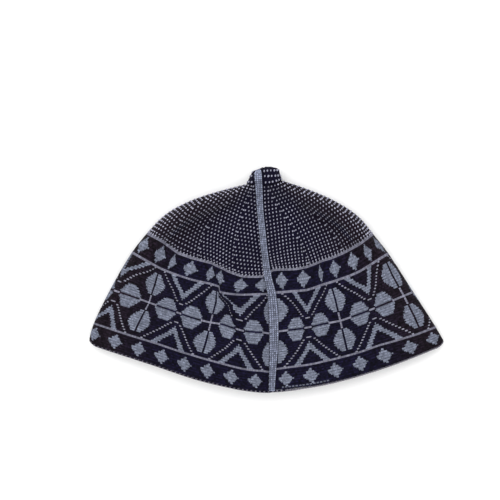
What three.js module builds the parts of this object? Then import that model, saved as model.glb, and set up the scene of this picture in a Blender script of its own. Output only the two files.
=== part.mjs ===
// A knitted kofia lying on a table, folded flat on itself at both sides.
// Millimetres. X runs across the cap, Y from the rim towards the knob, Z up from the table.
// The back layer lies on the table, the front layer with the joining seam lies above it.

import * as THREE from "three";
import { mergeVertices } from "three/addons/utils/BufferGeometryUtils.js";

// Driving sizes
const lyingWidth = 272.5; // from side fold to side fold at the rim
const lyingLength = 158.5; // from the middle of the rim to the foot of the knob
const puffHeight = 30; // how high the front layer stands over the table at its highest
const wallThickness = 2.2; // double knitted fabric
const rollWidth = 9; // the round part of the side folds, seen from above
const slopeWidth = 7; // the step down from the side folds into the sunken crown
const creaseWidth = 12; // how far in the back layer rises off the table at the side folds
const knobWidth = 27; // the foot of the knob
const knobLength = 13; // from its foot to its tip
const knobThickness = 15;
const knobLift = 1.6; // how high the knob hangs over the table
const seamWidth = 7.4; // the joining seam at its widest
const seamHeight = 1.3;
const edgingDepth = 1.4; // the overlocked edge, measured along the wall
const edgingHeight = 1.9; // the same edge, measured across the wall
const seatGap = 0.3; // between the fabric and what is sewn on to it

// Finishes
const fabricInk = { color: 0x1b1928, roughness: 0.92, metalness: 0 };
const knobInk = { color: 0x23212f, roughness: 0.92, metalness: 0 };
const yarnGrey = { color: 0x7c808f, roughness: 0.9, metalness: 0 };
const edgeGrey = { color: 0x8f8f9c, roughness: 0.9, metalness: 0 };

// Rows of the fabric from the rim to the foot of the knob.
// at: place of the row along the cap. left, right, seam: across, in shares of lyingWidth from the middle.
// The seven heights on the table run from the left fold to the right fold, in shares of lyingLength.
// fold, ridge, panel, middle: heights over the table in shares of puffHeight, from the fold inwards.
// strip: width of the joining seam in shares of seamWidth.
const heightStations = ["leftUp", "farLeft", "nearLeft", "centre", "nearRight", "farRight", "rightUp"];
const fabricRows = [
  { at: 0, left: -0.5, leftUp: 0.23, farLeft: 0.138, nearLeft: 0.047, centre: 0.001, nearRight: 0.0385,
    farRight: 0.118, rightUp: 0.228, right: 0.5, seam: 0.0142, strip: 0.64,
    fold: 0.14, ridge: 0.3, panel: 0.37, middle: 0.52 },
  { at: 0.094, left: -0.4845, leftUp: 0.327, farLeft: 0.239, nearLeft: 0.15, centre: 0.094, nearRight: 0.137,
    farRight: 0.217, rightUp: 0.316, right: 0.4705, seam: 0.0167, strip: 0.76,
    fold: 0.147, ridge: 0.35, panel: 0.43, middle: 0.64 },
  { at: 0.28, left: -0.4395, leftUp: 0.488, farLeft: 0.41, nearLeft: 0.328, centre: 0.279, nearRight: 0.316,
    farRight: 0.388, rightUp: 0.485, right: 0.4075, seam: 0.0212, strip: 1,
    fold: 0.16, ridge: 0.44, panel: 0.53, middle: 0.8 },
  { at: 0.47, left: -0.3795, leftUp: 0.667, farLeft: 0.575, nearLeft: 0.508, centre: 0.471, nearRight: 0.485,
    farRight: 0.548, rightUp: 0.667, right: 0.339, seam: 0.0148, strip: 0.97,
    fold: 0.18, ridge: 0.57, panel: 0.56, middle: 0.92 },
  { at: 0.555, left: -0.3345, leftUp: 0.766, farLeft: 0.671, nearLeft: 0.585, centre: 0.552, nearRight: 0.583,
    farRight: 0.636, rightUp: 0.754, right: 0.2995, seam: 0.0042, strip: 0.84,
    fold: 0.2, ridge: 0.7, panel: 0.45, middle: 0.93 },
  { at: 0.67, left: -0.279, leftUp: 0.86, farLeft: 0.765, nearLeft: 0.697, centre: 0.666, nearRight: 0.693,
    farRight: 0.75, rightUp: 0.849, right: 0.252, seam: -0.005, strip: 0.72,
    fold: 0.213, ridge: 0.76, panel: 0.42, middle: 0.86 },
  { at: 0.78, left: -0.21, leftUp: 0.923, farLeft: 0.849, nearLeft: 0.798, centre: 0.775, nearRight: 0.796,
    farRight: 0.846, rightUp: 0.919, right: 0.1895, seam: -0.0123, strip: 0.78,
    fold: 0.22, ridge: 0.76, panel: 0.42, middle: 0.76 },
  { at: 0.89, left: -0.1333, leftUp: 0.967, farLeft: 0.925, nearLeft: 0.897, centre: 0.884, nearRight: 0.899,
    farRight: 0.929, rightUp: 0.971, right: 0.121, seam: -0.019, strip: 0.84,
    fold: 0.22, ridge: 0.66, panel: 0.46, middle: 0.66 },
];

// Rows of the knob, from its foot up. left, right, seam: in shares of knobWidth from the knob's middle.
// up: along the cap from the knob's foot, in shares of knobLength. thick: in shares of knobThickness.
const knobRows = [
  { at: 0, left: -0.5, leftUp: 0, centre: -0.06, rightUp: 0.22, right: 0.5,
    thick: 1, seam: -0.15, strip: 0.98 },
  { at: 0.5, left: -0.385, leftUp: 0.5, centre: 0.5, rightUp: 0.54, right: 0.45,
    thick: 0.94, seam: -0.17, strip: 1 },
  { at: 0.86, left: -0.29, leftUp: 0.83, centre: 0.9, rightUp: 0.93, right: 0.4,
    thick: 0.78, seam: -0.16, strip: 0.9 },
  { at: 1, left: -0.13, leftUp: 0.98, centre: 1.04, rightUp: 1.07, right: 0.26,
    thick: 0.5, seam: -0.08, strip: 0.66 },
];
const knobMiddle = -0.0078; // across the cap, in shares of lyingWidth
const knobFoldShare = 0.5; // the fold lies half way up the knob's thickness

// Dents of the front layer. across: share of the row, from -1 at the left fold to 1 at the right fold.
// at: place along the cap. wide, long: their reach in mm. deep: in shares of wallThickness.
const dents = [
  { name: "tuck over the left flower", across: -0.38, at: 0.45, wide: 5, long: 9, deep: 0.9 },
  { name: "kink in the crown's edge", across: -0.5, at: 0.56, wide: 7, long: 6, deep: 0.55 },
  { name: "wave in the left wall", across: -0.66, at: 0.2, wide: 16, long: 22, deep: 0.6 },
  { name: "wave in the right wall", across: 0.6, at: 0.26, wide: 18, long: 20, deep: 0.6 },
  { name: "hollow left of the seam", across: -0.12, at: 0.4, wide: 9, long: 30, deep: 0.4 },
  { name: "hollow right of the seam", across: 0.2, at: 0.4, wide: 9, long: 30, deep: 0.4 },
];

// Gathers of the crown between its gores: shallow grooves that deepen towards the knob.
const goreCount = 11;
const gatherDepth = 0.9;

// How finely the fabric is divided
const stepsAcross = 34;
const rowSteps = 24;
const knobSteps = 5;

const clamp01 = (value) => Math.min(1, Math.max(0, value));
const clampSide = (value) => Math.min(1, Math.max(-1, value));
const mix = (a, b, share) => a + (b - a) * share;
const smooth = (value) => clamp01(value) ** 2 * (3 - 2 * clamp01(value));

// A value of a table's column at a place along it, on a smooth curve through the rows.
function fromTable(table, column, at) {
  const last = table.length - 1;
  let i = 0;
  while (i < last - 1 && at > table[i + 1].at) i += 1;
  const rowAt = (k) => table[Math.min(last, Math.max(0, k))];
  const [before, here, next, after] = [i - 1, i, i + 1, i + 2].map(rowAt);
  const span = next.at - here.at;
  const slopeAt = (a, b) => (b.at === a.at ? 0 : (b[column] - a[column]) / (b.at - a.at));
  const slopeHere = here === before ? slopeAt(here, next) : slopeAt(before, next);
  const slopeNext = next === after ? slopeAt(here, next) : slopeAt(here, after);
  const t = clamp01((at - here.at) / span);
  return (
    here[column] * (1 + 2 * t) * (1 - t) ** 2 +
    next[column] * t * t * (3 - 2 * t) +
    span * slopeHere * t * (1 - t) ** 2 -
    span * slopeNext * t * t * (1 - t)
  );
}

// A smooth curve through evenly spaced heights, at a share from -1 to 1 of the row.
function throughStations(values, across) {
  const table = values.map((height, i) => ({ at: i, height }));
  return fromTable(table, "height", ((across + 1) / 2) * (values.length - 1));
}

// One row of the lying fabric in mm. Places beyond the fabric's last row run on into the knob's foot.
function fabricRow(at) {
  const column = (name) => fromTable(tableToKnob, name, at);
  return {
    left: column("left") * lyingWidth,
    right: column("right") * lyingWidth,
    ups: heightStations.map((name) => column(name) * lyingLength),
    fold: column("fold") * puffHeight,
    ridge: column("ridge") * puffHeight,
    panel: column("panel") * puffHeight,
    middle: column("middle") * puffHeight,
    under: Math.max(0, column("under")) * puffHeight,
    seam: column("seam") * lyingWidth,
    strip: column("strip") * seamWidth,
    gather: gatherDepth * smooth((at - 0.56) / 0.44),
    at,
  };
}

// One row of the knob in mm.
function knobRow(at) {
  const column = (name) => fromTable(knobRows, name, at);
  const thick = column("thick") * knobThickness;
  const axis = knobLift + knobThickness * knobFoldShare;
  const top = axis + thick / 2;
  const [leftUp, centre, rightUp] = ["leftUp", "centre", "rightUp"].map(
    (name) => lyingLength + column(name) * knobLength,
  );
  return {
    left: knobMiddle * lyingWidth + column("left") * knobWidth,
    right: knobMiddle * lyingWidth + column("right") * knobWidth,
    ups: [0, 1, 2, 3, 4, 5, 6].map((i) => {
      const across = i / 3 - 1;
      return mix(centre, across < 0 ? leftUp : rightUp, across * across);
    }),
    fold: axis,
    ridge: mix(axis, top, 0.86),
    panel: mix(axis, top, 0.95),
    middle: top,
    under: axis - thick / 2,
    seam: knobMiddle * lyingWidth + column("seam") * knobWidth,
    strip: column("strip") * seamWidth,
    gather: gatherDepth * (1 - 0.5 * at),
    at: 1 + at,
  };
}

// The fabric's own rows, with the foot of the knob as the last of them.
const foot = knobRow(0);
const footRow = {
  at: 1,
  left: foot.left / lyingWidth,
  right: foot.right / lyingWidth,
  seam: foot.seam / lyingWidth,
  strip: foot.strip / seamWidth,
  fold: foot.fold / puffHeight,
  ridge: foot.ridge / puffHeight,
  panel: foot.panel / puffHeight,
  middle: foot.middle / puffHeight,
  under: foot.under / puffHeight,
};
heightStations.forEach((name, i) => {
  footRow[name] = foot.ups[i] / lyingLength;
});
const tableToKnob = [...fabricRows.map((row) => ({ under: 0, ...row })), footRow];

// Depth of the dents and gathers of the front layer at a place on it.
function dentAt(row, across) {
  const halfWidth = (row.right - row.left) / 2;
  let depth = 0;
  for (const dent of dents) {
    const sideways = ((across - dent.across) * halfWidth) / dent.wide;
    const along = ((row.at - dent.at) * lyingLength) / dent.long;
    depth += dent.deep * wallThickness * Math.exp(-(sideways ** 2) - along ** 2);
  }
  const gore = (Math.acos(clampSide(across)) / Math.PI) * (goreCount / 2);
  depth += row.gather * Math.abs(Math.cos(gore * Math.PI)) ** 8;
  return depth * smooth((1 - Math.abs(across)) * 6);
}

// Height of the front layer. inward is the distance from the nearer side fold along the row.
function frontHeight(row, across) {
  const halfWidth = (row.right - row.left) / 2;
  const inward = (1 - Math.abs(across)) * halfWidth;
  const roll = Math.min(rollWidth, halfWidth * 0.5);
  const slope = Math.min(slopeWidth, halfWidth * 0.3);
  const round = Math.sqrt(1 - (1 - clamp01(inward / roll)) ** 2);
  const step = smooth((inward - roll) / slope);
  const dome = 1 - Math.min(1, (halfWidth - inward) / (halfWidth - roll)) ** 2;
  return (
    mix(row.fold, row.ridge, round) + (row.panel - row.ridge) * step + (row.middle - row.panel) * dome
  );
}

// Height of the back layer, flat on the table but for the rise to the side folds.
function backHeight(row, across) {
  const halfWidth = (row.right - row.left) / 2;
  const inward = (1 - Math.abs(across)) * halfWidth;
  const crease = Math.min(creaseWidth, halfWidth);
  const round = Math.sqrt(1 - (1 - clamp01(inward / crease)) ** 2);
  return mix(row.fold, row.under, round);
}

// A point on a row: side 1 is the front layer, side -1 the back layer.
function rowPoint(row, across, side) {
  const x = mix(row.left, row.right, (across + 1) / 2);
  const y = throughStations(row.ups, across);
  const z = side > 0 ? frontHeight(row, across) - dentAt(row, across) : backHeight(row, across);
  return new THREE.Vector3(x, y, z);
}

// The same row, moved in by the wall's thickness, for the inside of the cap.
function insideOf(row) {
  return {
    ...row,
    left: row.left + wallThickness,
    right: row.right - wallThickness,
    ridge: row.ridge - wallThickness,
    panel: row.panel - wallThickness,
    middle: row.middle - wallThickness,
    under: row.under + wallThickness,
  };
}

// A closed ring round the flattened cap: over the front from left to right, and back underneath.
function ringOf(row) {
  const ring = [];
  for (let i = 0; i < 2 * stepsAcross; i += 1) {
    const turn = (Math.PI * i) / stepsAcross;
    ring.push(rowPoint(row, -Math.cos(turn), i < stepsAcross ? 1 : -1));
  }
  return ring;
}

// A closed body from rings of equal length; each end is closed by a fan to the ring's middle.
function bodyFromRings(rings, closeRound = false) {
  const positions = [];
  const faces = [];
  const size = rings[0].length;
  rings.forEach((ring) => ring.forEach((p) => positions.push(p.x, p.y, p.z)));
  const bands = closeRound ? rings.length : rings.length - 1;
  for (let r = 0; r < bands; r += 1) {
    const next = ((r + 1) % rings.length) * size;
    for (let i = 0; i < size; i += 1) {
      const j = (i + 1) % size;
      faces.push(r * size + i, r * size + j, next + j);
      faces.push(r * size + i, next + j, next + i);
    }
  }
  if (!closeRound) {
    for (const [ring, isLast] of [[rings[0], false], [rings[rings.length - 1], true]]) {
      const start = isLast ? (rings.length - 1) * size : 0;
      const middle = ring.reduce((sum, p) => sum.add(p), new THREE.Vector3()).divideScalar(size);
      const tip = positions.length / 3;
      positions.push(middle.x, middle.y, middle.z);
      for (let i = 0; i < size; i += 1) {
        const j = (i + 1) % size;
        faces.push(...(isLast ? [start + i, start + j, tip] : [start + j, start + i, tip]));
      }
    }
  }
  return facingOut(positions, faces);
}

// Turns the faces outwards, by the sign of the volume that they enclose.
function facingOut(positions, faces) {
  const corner = (k) => new THREE.Vector3().fromArray(positions, faces[k] * 3);
  let volume = 0;
  for (let k = 0; k < faces.length; k += 3) {
    volume += corner(k).dot(corner(k + 1).cross(corner(k + 2)));
  }
  if (volume < 0) {
    for (let k = 0; k < faces.length; k += 3) [faces[k], faces[k + 1]] = [faces[k + 1], faces[k]];
  }
  const geometry = new THREE.BufferGeometry();
  geometry.setAttribute("position", new THREE.Float32BufferAttribute(positions, 3));
  geometry.setIndex(faces);
  const merged = mergeVertices(geometry, 1e-4);
  merged.computeVertexNormals();
  return merged;
}

// The rim lies back from the outline by the edging and its gap.
const rimSetBack = (edgingDepth + seatGap) / lyingLength;
const rowPlaces = [];
for (let i = 0; i <= rowSteps; i += 1) rowPlaces.push(mix(rimSetBack, 1, i / rowSteps));

// Crown and wall: down the outside to the rim, and up the inside to just under the knob.
function knittedShell() {
  const outer = rowPlaces.map((at) => ringOf(fabricRow(at)));
  const insideTop = 1 - (2 * wallThickness) / lyingLength;
  const inner = rowPlaces.map((at, i) =>
    ringOf(insideOf(fabricRow(i === 0 ? at : mix(rimSetBack, insideTop, i / rowSteps)))),
  );
  return bodyFromRings([...outer.reverse(), ...inner]);
}

// The gathered tip: the fabric's last rows drawn together, folded over and closed.
function topKnob() {
  const rings = [];
  for (let i = 0; i <= knobSteps; i += 1) {
    const ring = ringOf(knobRow(i / knobSteps));
    ring.forEach((p) => {
      p.y += seatGap;
    });
    rings.push(ring);
  }
  return bodyFromRings(rings);
}

// The front layer's surface between two of its divisions, as the flat faces have it.
function onFrontFaces(row, across) {
  const turn = Math.acos(clampSide(-across));
  const step = Math.min(stepsAcross - 1, Math.floor((turn / Math.PI) * stepsAcross));
  const low = -Math.cos((Math.PI * step) / stepsAcross);
  const high = -Math.cos((Math.PI * (step + 1)) / stepsAcross);
  return rowPoint(row, low, 1).lerp(rowPoint(row, high, 1), (across - low) / (high - low));
}

// The joining seam: a raised strip along the front layer, from the rim up over the knob.
const stripSection = [
  { side: -1, height: 0 },
  { side: -0.35, height: 0 },
  { side: 0.35, height: 0 },
  { side: 1, height: 0 },
  { side: 1, height: 0.5 },
  { side: 0.72, height: 0.95 },
  { side: 0, height: 1 },
  { side: -0.72, height: 0.95 },
  { side: -1, height: 0.5 },
];

const seamSeat = 1.6 * seatGap; // upright gap under the seam, which lies on sloping fabric
const seamKnobRows = knobSteps - 1; // the seam ends one row short of the knob's tip

function seamRing(row, forward) {
  const shareAt = (offset) => ((row.seam + offset - row.left) / (row.right - row.left)) * 2 - 1;
  return stripSection.map(({ side, height }) => {
    const p = onFrontFaces(row, shareAt((side * row.strip) / 2));
    p.y += forward;
    p.z += seamSeat + height * seamHeight;
    return p;
  });
}

function joiningSeam() {
  const rings = rowPlaces.map((at) => seamRing(fabricRow(at), 0));
  for (let i = 1; i <= seamKnobRows; i += 1) rings.push(seamRing(knobRow(i / knobSteps), seatGap));
  return bodyFromRings(rings);
}

// The overlocked edge: a thin band just below the rim, all the way round it.
const edgingDirection = 0.05; // how far along the cap the wall's direction at the rim is taken
function rimEdging() {
  const rim = fabricRow(rimSetBack);
  const outer = ringOf(rim);
  const inner = ringOf(insideOf(rim));
  const beyond = ringOf(fabricRow(rimSetBack + edgingDirection));
  const rings = outer.map((p, i) => {
    const across = inner[i].clone().sub(p).normalize();
    const along = p.clone().sub(beyond[i]).normalize();
    const middle = p.clone().add(inner[i]).multiplyScalar(0.5);
    return [0, 1, 2, 3, 4, 5].map((k) => {
      const turn = (Math.PI * k) / 3;
      return middle
        .clone()
        .addScaledVector(along, seatGap + edgingDepth / 2 + (Math.cos(turn) * edgingDepth) / 2)
        .addScaledVector(across, (Math.sin(turn) * edgingHeight) / 2);
    });
  });
  return bodyFromRings(rings, true);
}

const pieces = [
  ["knitted_shell", knittedShell(), fabricInk],
  ["top_knob", topKnob(), knobInk],
  ["joining_seam", joiningSeam(), yarnGrey],
  ["rim_edging", rimEdging(), edgeGrey],
];

// The origin is under the middle of the lying cap, on the table.
const cap = new THREE.Group();
for (const [name, geometry, finish] of pieces) {
  const mesh = new THREE.Mesh(geometry, new THREE.MeshStandardMaterial(finish));
  mesh.name = name;
  cap.add(mesh);
}
const outline = new THREE.Box3().setFromObject(cap, true);
const middle = outline.getCenter(new THREE.Vector3());
const kofia = new THREE.Group();
cap.position.set(-middle.x, -middle.y, -outline.min.z);
kofia.add(cap);

export default kofia;
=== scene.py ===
import bpy
import numpy as np
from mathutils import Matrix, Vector


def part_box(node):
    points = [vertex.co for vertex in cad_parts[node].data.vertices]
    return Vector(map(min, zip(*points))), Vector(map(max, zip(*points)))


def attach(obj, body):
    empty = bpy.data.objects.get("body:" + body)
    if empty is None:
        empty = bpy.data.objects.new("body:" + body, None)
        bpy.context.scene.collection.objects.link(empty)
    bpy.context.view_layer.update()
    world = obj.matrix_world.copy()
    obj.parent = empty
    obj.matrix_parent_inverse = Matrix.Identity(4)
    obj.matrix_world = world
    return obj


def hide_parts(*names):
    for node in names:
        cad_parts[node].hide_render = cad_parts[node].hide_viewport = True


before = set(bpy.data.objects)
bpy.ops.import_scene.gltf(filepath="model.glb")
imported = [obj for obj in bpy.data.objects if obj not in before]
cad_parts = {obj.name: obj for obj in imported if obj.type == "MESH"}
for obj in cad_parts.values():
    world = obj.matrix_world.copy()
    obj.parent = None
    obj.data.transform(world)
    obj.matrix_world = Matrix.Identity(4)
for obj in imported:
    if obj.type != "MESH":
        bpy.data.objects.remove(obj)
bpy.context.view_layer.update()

# A knitted kofia lying folded flat, seen from above. Metres, X across the cap, Y from the rim to the knob.
mm = 0.001
ruling = 0.76 * mm  # step of the ruled sheet on which places on the cap were read, from its middle
print("frame loaded")

# The lying form, the same curves as the solids have
capForm = {
    "lyingWidth": 272.5 * mm,  # side fold to side fold at the rim
    "lyingLength": 158.5 * mm,  # rim to the foot of the knob
    "puffHeight": 30 * mm,
    "wall": 2.2 * mm,
    "roll": 9 * mm,
    "slope": 7 * mm,
    "crease": 12 * mm,
    "knobWidth": 27 * mm,
    "knobLength": 13 * mm,
    "knobThickness": 15 * mm,
    "knobLift": 1.6 * mm,
    "knobMiddle": -0.0078,  # share of lyingWidth
    "knobRidge": 0.86,  # shares of the height from the knob's fold to its top
    "knobPanel": 0.95,
    "seamWidth": 7.4 * mm,
    "edgingDepth": 1.4 * mm,
    "edgingHeight": 1.9 * mm,
    "seat": 0.3 * mm,
    "gores": 11,  # shallow gathers of the crown
    "gather": 0.9 * mm,
    "gatherFrom": 0.56,  # share of lyingLength
    "gatherOnKnob": 0.5,  # share of the gathers that is lost at its tip
    "gatherSharpness": 8,
    "foldFade": 6,  # how fast dents and gathers die out at the side folds
}
stations = "leftUp farLeft nearLeft centre nearRight farRight rightUp".split()
columns = ("at left " + " ".join(stations) + " right seam strip fold ridge panel middle under").split()
fabricRows = [  # places and widths are shares of lyingWidth and lyingLength, heights of puffHeight
    (0, -0.5, 0.23, 0.138, 0.047, 0.001, 0.0385, 0.118, 0.228, 0.5, 0.0142, 0.64, 0.14, 0.3, 0.37, 0.52, 0),
    (0.094, -0.4845, 0.327, 0.239, 0.15, 0.094, 0.137, 0.217, 0.316, 0.4705, 0.0167, 0.76,
     0.147, 0.35, 0.43, 0.64, 0),
    (0.28, -0.4395, 0.488, 0.41, 0.328, 0.279, 0.316, 0.388, 0.485, 0.4075, 0.0212, 1,
     0.16, 0.44, 0.53, 0.8, 0),
    (0.47, -0.3795, 0.667, 0.575, 0.508, 0.471, 0.485, 0.548, 0.667, 0.339, 0.0148, 0.97,
     0.18, 0.57, 0.56, 0.92, 0),
    (0.555, -0.3345, 0.766, 0.671, 0.585, 0.552, 0.583, 0.636, 0.754, 0.2995, 0.0042, 0.84,
     0.2, 0.7, 0.45, 0.93, 0),
    (0.67, -0.279, 0.86, 0.765, 0.697, 0.666, 0.693, 0.75, 0.849, 0.252, -0.005, 0.72,
     0.213, 0.76, 0.42, 0.86, 0),
    (0.78, -0.21, 0.923, 0.849, 0.798, 0.775, 0.796, 0.846, 0.919, 0.1895, -0.0123, 0.78,
     0.22, 0.76, 0.42, 0.76, 0),
    (0.89, -0.1333, 0.967, 0.925, 0.897, 0.884, 0.899, 0.929, 0.971, 0.121, -0.019, 0.84,
     0.22, 0.66, 0.46, 0.66, 0),
]
knobColumns = "at left leftUp centre rightUp right thick seam strip".split()
knobRows = [  # shares of the knob's width, length and thickness
    (0, -0.5, 0, -0.06, 0.22, 0.5, 1, -0.15, 0.98),
    (0.5, -0.385, 0.5, 0.5, 0.54, 0.45, 0.94, -0.17, 1),
    (0.86, -0.3, 0.76, 0.87, 0.9, 0.37, 0.78, -0.16, 0.86),
    (1, -0.14, 0.85, 1, 1, 0.2, 0.5, -0.1, 0.62),
]
dents = [  # across and along the cap, reach in mm, depth in shares of the wall
    {"across": -0.345, "at": 0.45, "wide": 5, "long": 9, "deep": 0.9},  # tuck over the left flower
    {"across": -0.5, "at": 0.56, "wide": 7, "long": 6, "deep": 0.55},  # kink in the crown's edge
    {"across": -0.66, "at": 0.2, "wide": 16, "long": 22, "deep": 0.6},
    {"across": 0.6, "at": 0.26, "wide": 18, "long": 20, "deep": 0.6},
    {"across": -0.12, "at": 0.4, "wide": 9, "long": 30, "deep": 0.4},  # hollows beside the seam
    {"across": 0.2, "at": 0.4, "wide": 9, "long": 30, "deep": 0.4},
]


def smooth(value):
    value = np.clip(value, 0, 1)
    return value * value * (3 - 2 * value)


def mix(a, b, share):
    return a + (b - a) * share


def curveThrough(places, values, at):
    # smooth curve through rows of a table; values may have one column for each place of at
    places = np.asarray(places, float)
    values = np.asarray(values, float)
    last = len(places) - 1
    low = np.clip(np.searchsorted(places, at, side="left") - 1, 0, last - 1)
    wide = places.reshape((-1,) + (1,) * (values.ndim - 1))
    slopes = np.concatenate([
        (values[1:2] - values[:1]) / (wide[1:2] - wide[:1]),
        (values[2:] - values[:-2]) / (wide[2:] - wide[:-2]),
        (values[-1:] - values[-2:-1]) / (wide[-1:] - wide[-2:-1]),
    ])
    span = places[low + 1] - places[low]
    t = np.clip((at - places[low]) / span, 0, 1)

    def pick(table, index):
        return table[index] if table.ndim == 1 else np.take_along_axis(table, index[None], 0)[0]

    here, after = pick(values, low), pick(values, low + 1)
    leaving, arriving = pick(slopes, low), pick(slopes, low + 1)
    return (here * (1 + 2 * t) * (1 - t) ** 2 + after * t * t * (3 - 2 * t)
            + span * leaving * t * (1 - t) ** 2 - span * arriving * t * t * (1 - t))


def knobRow(at):
    # one row of the knob for each place in at, from 0 at its foot to 1 at its tip
    f = capForm
    table = np.array(knobRows).T
    col = {name: curveThrough(table[0], table[i], at) for i, name in enumerate(knobColumns)}
    thick = col["thick"] * f["knobThickness"]
    axis = f["knobLift"] + f["knobThickness"] / 2
    top = axis + thick / 2
    share = np.linspace(-1, 1, len(stations))[:, None]
    sides = np.where(share < 0, col["leftUp"], col["rightUp"])
    middle = f["knobMiddle"] * f["lyingWidth"]
    return {
        "at": 1 + at,
        "left": middle + col["left"] * f["knobWidth"],
        "right": middle + col["right"] * f["knobWidth"],
        "ups": f["lyingLength"] + mix(col["centre"], sides, share ** 2) * f["knobLength"],
        "fold": axis + 0 * at, "ridge": mix(axis, top, f["knobRidge"]),
        "panel": mix(axis, top, f["knobPanel"]), "middle": top, "under": axis - thick / 2,
        "seam": middle + col["seam"] * f["knobWidth"],
        "strip": col["strip"] * f["seamWidth"],
        "gather": f["gather"] * (1 - f["gatherOnKnob"] * at),
    }


def footRow():
    # the foot of the knob as a row of the fabric's table
    foot = knobRow(np.zeros(1))
    f = capForm
    wide, long, high = f["lyingWidth"], f["lyingLength"], f["puffHeight"]
    row = [1, foot["left"][0] / wide, *(foot["ups"][:, 0] / long), foot["right"][0] / wide,
           foot["seam"][0] / wide, foot["strip"][0] / f["seamWidth"]]
    return row + [foot[name][0] / high for name in "fold ridge panel middle under".split()]


fabricTable = np.array([*fabricRows, footRow()]).T


def fabricRow(at):
    # one row of the lying fabric for each place in at, from 0 at the rim to 1 at the knob's foot
    f = capForm
    col = {name: curveThrough(fabricTable[0], fabricTable[i], at) for i, name in enumerate(columns)}
    row = {name: col[name] * f["puffHeight"] for name in "fold ridge panel middle".split()}
    row.update({name: col[name] * f["lyingWidth"] for name in "left right seam".split()})
    row["under"] = np.maximum(0, col["under"]) * f["puffHeight"]
    row["ups"] = np.array([col[name] for name in stations]) * f["lyingLength"]
    row["strip"] = col["strip"] * f["seamWidth"]
    row["gather"] = f["gather"] * smooth((at - f["gatherFrom"]) / (1 - f["gatherFrom"]))
    row["at"] = at
    return row


def rowAt(place):
    return fabricRow(np.array([place]))


def insideOf(row, wall):
    # the same rows, moved in by the wall's thickness
    moved = dict(row)
    for name, sign in {"left": 1, "right": -1, "ridge": -1, "panel": -1, "middle": -1, "under": 1}.items():
        moved[name] = row[name] + sign * wall
    return moved


def onRows(row, across, front):
    # points on rows: across is -1 at the left fold and 1 at the right fold, front is True on the upper layer
    f = capForm
    across, front = np.broadcast_arrays(across, front)
    half = (row["right"] - row["left"]) / 2
    inward = (1 - np.abs(across)) * half
    roll = np.minimum(f["roll"], half * 0.5)
    slope = np.minimum(f["slope"], half * 0.3)
    bend = np.sqrt(1 - (1 - np.clip(inward / roll, 0, 1)) ** 2)
    dome = 1 - np.minimum(1, (half - inward) / (half - roll)) ** 2
    upper = (mix(row["fold"], row["ridge"], bend)
             + (row["panel"] - row["ridge"]) * smooth((inward - roll) / slope)
             + (row["middle"] - row["panel"]) * dome)
    depth = 0
    for dent in dents:
        sideways = (across - dent["across"]) * half / (dent["wide"] * mm)
        along = (row["at"] - dent["at"]) * f["lyingLength"] / (dent["long"] * mm)
        depth = depth + dent["deep"] * f["wall"] * np.exp(-sideways ** 2 - along ** 2)
    gore = np.arccos(np.clip(across, -1, 1)) / np.pi * f["gores"] / 2
    depth = depth + row["gather"] * np.abs(np.cos(gore * np.pi)) ** f["gatherSharpness"]
    upper = upper - depth * smooth((1 - np.abs(across)) * f["foldFade"])
    crease = np.minimum(f["crease"], half)
    lower = mix(row["fold"], row["under"], np.sqrt(1 - (1 - np.clip(inward / crease, 0, 1)) ** 2))
    place = (across + 1) / 2 * (len(stations) - 1)
    ups = np.broadcast_to(row["ups"], (len(stations),) + across.shape)
    y = curveThrough(np.arange(len(stations)), ups, place)
    x = mix(row["left"], row["right"], (across + 1) / 2)
    return np.stack(np.broadcast_arrays(x, y, np.where(front, upper, lower)), -1)


rimSetBack = (capForm["edgingDepth"] + capForm["seat"]) / capForm["lyingLength"]
shellLow, shellHigh = [np.array(corner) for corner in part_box("knitted_shell")]
shift = np.array([  # from the cap's own origin to the frame's
    shellLow[0] - rowAt(rimSetBack)["left"][0],
    shellHigh[1] - rowAt(1.0)["ups"].max(),
    0,
])


# Rings round the flattened cap. Places round run even in cloth length, from -1 at the left fold over 1 at the
# right fold to 3 at the left fold again.
ringTurns = np.linspace(0, 2 * np.pi, 1441)


def ringOf(row):
    # how far round each turn of a row lies, and the lengths of its two layers
    points = onRows(row, -np.cos(ringTurns), ringTurns < np.pi)
    run = runOf(points)
    half = len(ringTurns) // 2
    front, back = run[half], run[-1] - run[half]
    around = np.where(ringTurns <= np.pi, -1 + 2 * run / front, 1 + 2 * (run - front) / back)
    return around, front, back


def evenRound(count):
    # even places round, from the left fold
    return -1 + 4 * np.arange(count) / count


def acrossOf(around, ring):
    # share across and layer for places round a ring
    turn = np.interp((around + 1) % 4 - 1, ring[0], ringTurns)
    return -np.cos(turn), turn < np.pi


def aroundOf(across, ring):
    # places round the ring for shares across its front layer
    return np.interp(np.arccos(-np.clip(across, -1, 1)), ringTurns, ring[0])


def shareAcross(row, x):
    return (x - row["left"]) / (row["right"] - row["left"]) * 2 - 1


def seamAcross(row, side):
    # share across of the seam's middle (0) or edges (-1, 1)
    return shareAcross(row, row["seam"] + side * row["strip"] / 2)


def addObject(name, data, location=(0, 0, 0)):
    thing = bpy.data.objects.new(name, data)
    thing.location = location
    bpy.context.scene.collection.objects.link(thing)
    return thing


def addPiece(name, points, faces, looks, nodes):
    mesh = bpy.data.meshes.new(name)
    mesh.from_pydata((np.asarray(points).reshape(-1, 3) + shift).tolist(), [], faces)
    mesh.validate()
    mesh.polygons.foreach_set("use_smooth", np.ones(len(mesh.polygons), bool))
    mesh.materials.append(looks)
    piece = addObject(name, mesh)
    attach(piece, "root")
    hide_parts(*nodes)
    return piece


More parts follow.
